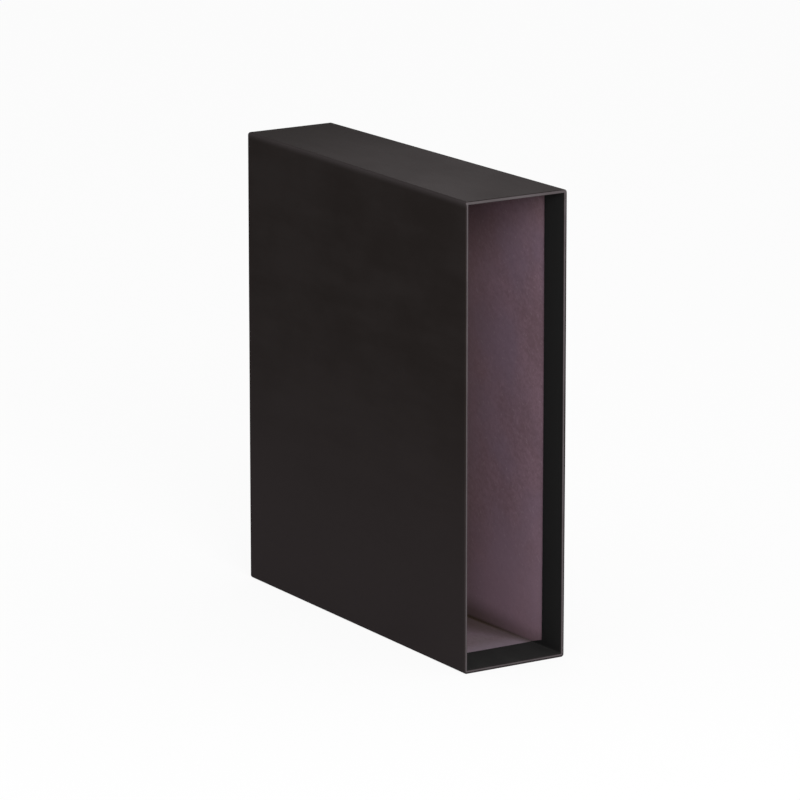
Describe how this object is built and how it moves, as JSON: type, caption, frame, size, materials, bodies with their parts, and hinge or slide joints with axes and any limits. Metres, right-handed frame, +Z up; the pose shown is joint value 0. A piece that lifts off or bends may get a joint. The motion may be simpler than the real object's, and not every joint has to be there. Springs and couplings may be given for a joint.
{
  "type": "binder slipcase",
  "caption": "Upright slipcase for an A4 ring binder: one folded board case, open at the spine side and a little narrower at the back, covered in dark paper that is turned in round the mouth.",
  "frame": {"origin": "middle of the bottom face, on the surface that the case stands on", "axes": "+Z up along the case's height, -Y out of the mouth, X across the mouth"},
  "size_m": [0.081, 0.29, 0.325],
  "materials": {
    "bare_board": "matte",
    "cover_paper": "satin"
  },
  "bodies": {
    "root": {"board_case": "bare_board", "cover_paper": "cover_paper"}
  },
  "joints": []
}
